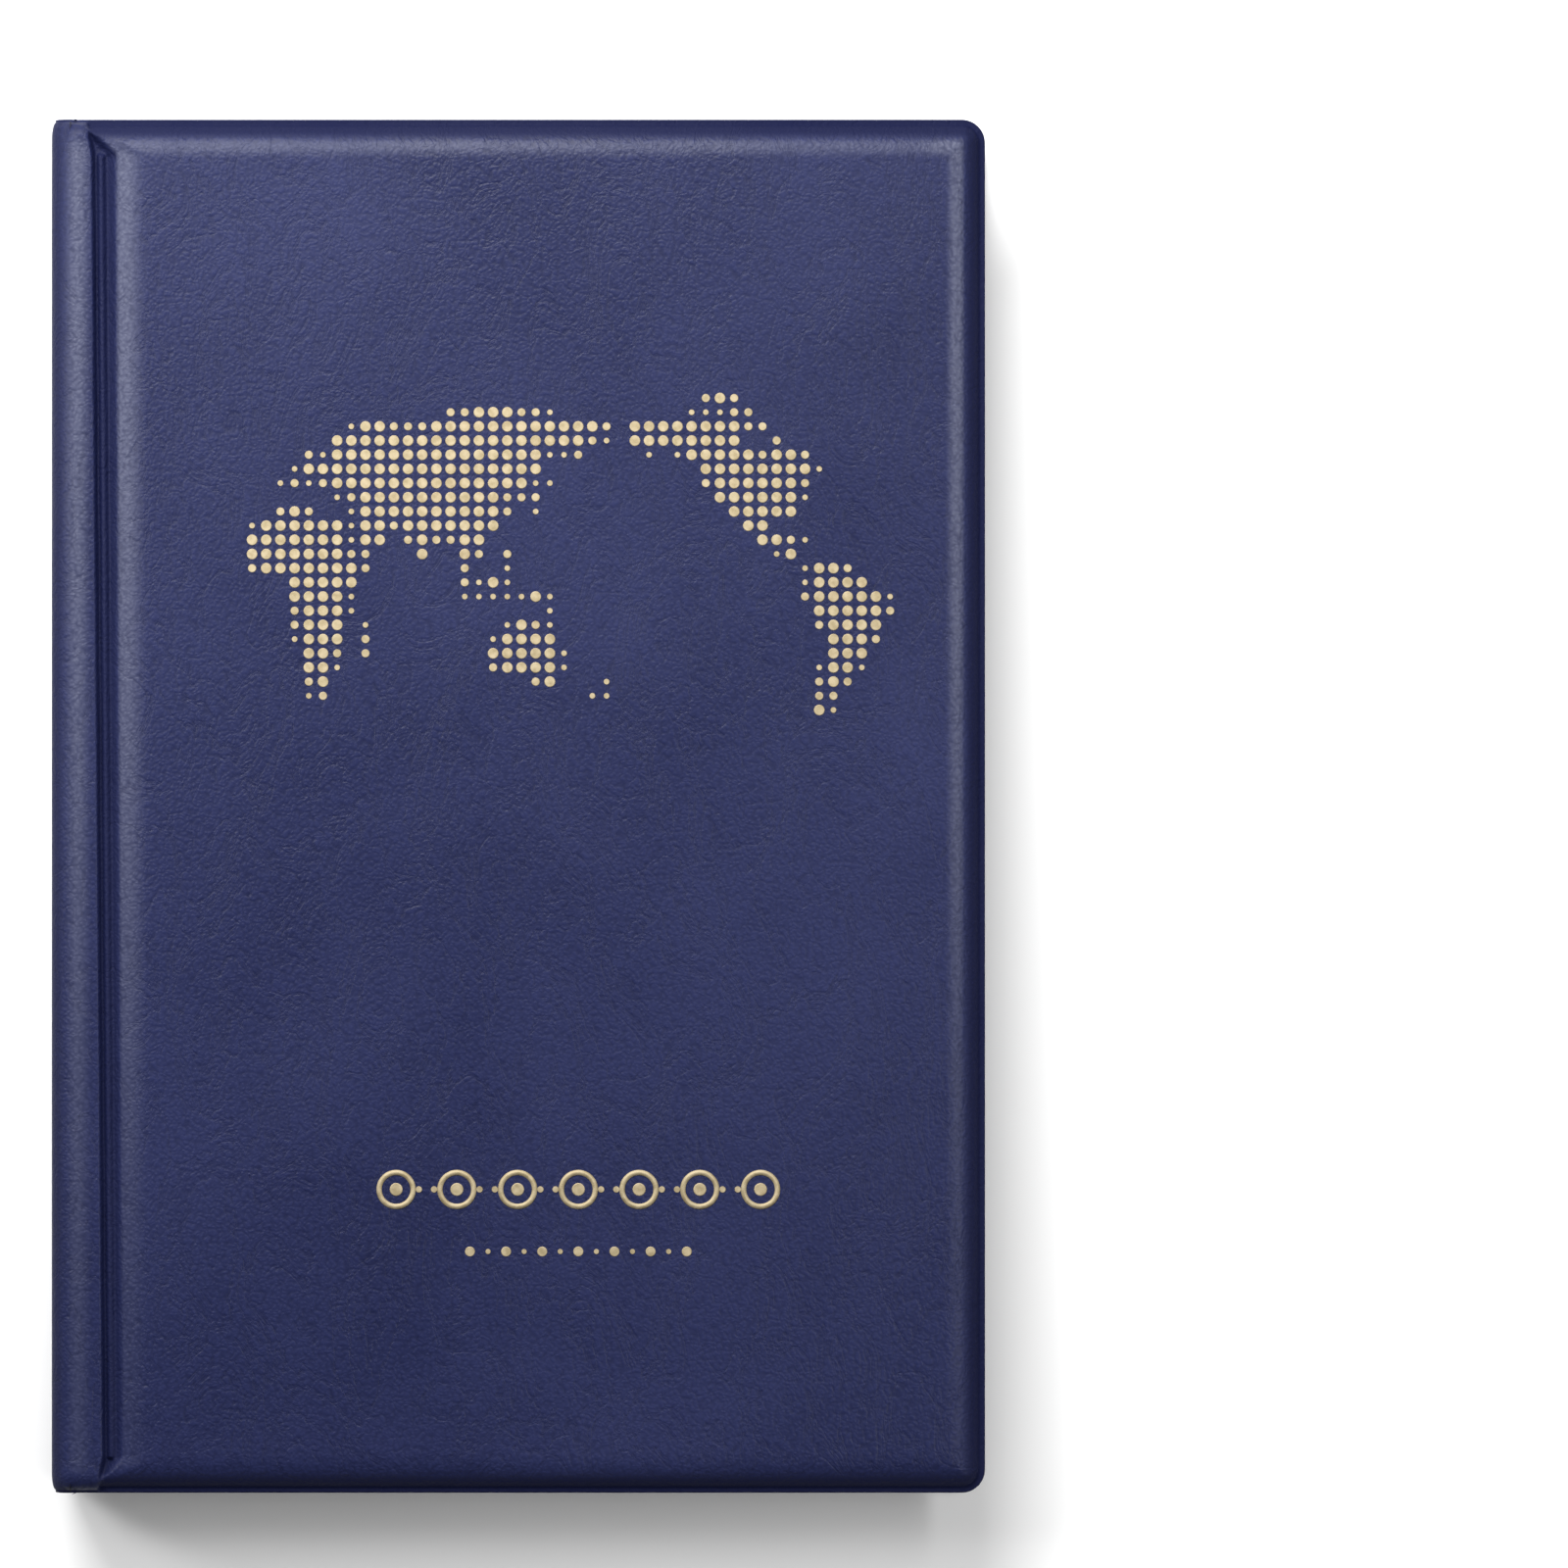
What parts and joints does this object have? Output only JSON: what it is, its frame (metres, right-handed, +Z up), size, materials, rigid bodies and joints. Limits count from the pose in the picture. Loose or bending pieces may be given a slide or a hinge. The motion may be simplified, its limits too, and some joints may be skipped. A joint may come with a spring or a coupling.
{
  "type": "coin album",
  "caption": "Padded vinyl coin album with clear pocket leaves that opens flat on its spine; large and small coins fill one spread.",
  "frame": {"origin": "centre of the closed album's footprint, on the surface that it lies on", "axes": "+X from the spine to the fore edge, +Y up the page, +Z up from the back cover to the front cover"},
  "size_m": [0.16, 0.235, 0.022],
  "materials": {
    "navy_vinyl": "padded leather-grain vinyl, satin",
    "black_lining": "fine-grained black vinyl",
    "greyboard": "raw greyboard",
    "foam": "soft foam sheet",
    "dark_sheet": "smooth dark vinyl sheet",
    "clear_film": "clear glossy film with knurled welds",
    "clear_flap": "clear glossy film, folded",
    "large_coin_silver": "worn silver grey with darker hollows",
    "small_coin_silver": "antique silver with dark hollows",
    "gold_foil": "hot-stamped matte gold foil"
  },
  "bodies": {
    "back_cover": {"back_outer_vinyl": "navy_vinyl", "back_foam_pad": "foam", "back_board": "greyboard", "back_lining": "black_lining"},
    "spine": {"spine_outer_vinyl": "navy_vinyl", "spine_board": "greyboard", "spine_lining": "black_lining"},
    "front_cover": {"front_outer_vinyl": "navy_vinyl", "front_foam_pad": "foam", "front_board": "greyboard", "front_lining": "black_lining"},
    "leaf_1": {"leaf_1_sheet": "dark_sheet", "leaf_1_recto_pockets": "clear_film", "leaf_1_recto_flaps": "clear_flap", "leaf_1_verso_pockets": "clear_film", "leaf_1_verso_flaps": "clear_flap", "leaf_1_binding_strip": "black_lining"},
    "leaf_2": {"leaf_2_sheet": "dark_sheet", "leaf_2_recto_pockets": "clear_film", "leaf_2_recto_flaps": "clear_flap", "leaf_2_verso_pockets": "clear_film", "leaf_2_verso_flaps": "clear_flap", "leaf_2_binding_strip": "black_lining", "large_coins": "large_coin_silver"},
    "leaf_3": {"leaf_3_sheet": "dark_sheet", "leaf_3_recto_pockets": "clear_film", "leaf_3_recto_flaps": "clear_flap", "leaf_3_verso_pockets": "clear_film", "leaf_3_verso_flaps": "clear_flap", "leaf_3_binding_strip": "black_lining", "small_coins": "small_coin_silver"},
    "leaf_4": {"leaf_4_sheet": "dark_sheet", "leaf_4_recto_pockets": "clear_film", "leaf_4_recto_flaps": "clear_flap", "leaf_4_verso_pockets": "clear_film", "leaf_4_verso_flaps": "clear_flap", "leaf_4_binding_strip": "black_lining"},
    "leaf_5": {"leaf_5_sheet": "dark_sheet", "leaf_5_recto_pockets": "clear_film", "leaf_5_recto_flaps": "clear_flap", "leaf_5_verso_pockets": "clear_film", "leaf_5_verso_flaps": "clear_flap", "leaf_5_binding_strip": "black_lining"},
    "leaf_6": {"leaf_6_sheet": "dark_sheet", "leaf_6_recto_pockets": "clear_film", "leaf_6_recto_flaps": "clear_flap", "leaf_6_verso_pockets": "clear_film", "leaf_6_verso_flaps": "clear_flap", "leaf_6_binding_strip": "black_lining"},
    "leaf_7": {"leaf_7_sheet": "dark_sheet", "leaf_7_recto_pockets": "clear_film", "leaf_7_recto_flaps": "clear_flap", "leaf_7_verso_pockets": "clear_film", "leaf_7_verso_flaps": "clear_flap", "leaf_7_binding_strip": "black_lining"}
  },
  "joints": [
    {"name": "spine_hinge", "type": "hinge", "parent": "back_cover", "child": "spine", "pos_m": [-0.0782, 0, 0.0018], "axis": [0, -1, 0], "range_deg": [0, 90]},
    {"name": "front_cover_hinge", "type": "hinge", "parent": "spine", "child": "front_cover", "pos_m": [-0.0782, 0, 0.02015], "axis": [0, -1, 0], "range_deg": [0, 90]},
    {"name": "leaf_1_hinge", "type": "hinge", "parent": "spine", "child": "leaf_1", "pos_m": [-0.07534, 0, 0.01729], "axis": [0, -1, 0], "range_deg": [0, 90]},
    {"name": "leaf_2_hinge", "type": "hinge", "parent": "spine", "child": "leaf_2", "pos_m": [-0.0725, 0, 0.01445], "axis": [0, -1, 0], "range_deg": [0, 90]},
    {"name": "leaf_3_hinge", "type": "hinge", "parent": "spine", "child": "leaf_3", "pos_m": [-0.07445, 0, 0.00555], "axis": [0, -1, 0], "range_deg": [-90, 0]},
    {"name": "leaf_4_hinge", "type": "hinge", "parent": "spine", "child": "leaf_4", "pos_m": [-0.07537, 0, 0.00463], "axis": [0, -1, 0], "range_deg": [-90, 0]},
    {"name": "leaf_5_hinge", "type": "hinge", "parent": "spine", "child": "leaf_5", "pos_m": [-0.07595, 0, 0.00405], "axis": [0, -1, 0], "range_deg": [-90, 0]},
    {"name": "leaf_6_hinge", "type": "hinge", "parent": "spine", "child": "leaf_6", "pos_m": [-0.07653, 0, 0.00347], "axis": [0, -1, 0], "range_deg": [-90, 0]},
    {"name": "leaf_7_hinge", "type": "hinge", "parent": "spine", "child": "leaf_7", "pos_m": [-0.07711, 0, 0.00289], "axis": [0, -1, 0], "range_deg": [-90, 0]}
  ],
  "couplings": [
    {"joint": "spine_hinge", "follows": "front_cover_hinge", "ratio": 1},
    {"joint": "leaf_1_hinge", "follows": "front_cover_hinge", "ratio": 1},
    {"joint": "leaf_2_hinge", "follows": "front_cover_hinge", "ratio": 1},
    {"joint": "leaf_3_hinge", "follows": "front_cover_hinge", "ratio": -1},
    {"joint": "leaf_4_hinge", "follows": "front_cover_hinge", "ratio": -1},
    {"joint": "leaf_5_hinge", "follows": "front_cover_hinge", "ratio": -1},
    {"joint": "leaf_6_hinge", "follows": "front_cover_hinge", "ratio": -1},
    {"joint": "leaf_7_hinge", "follows": "front_cover_hinge", "ratio": -1}
  ]
}
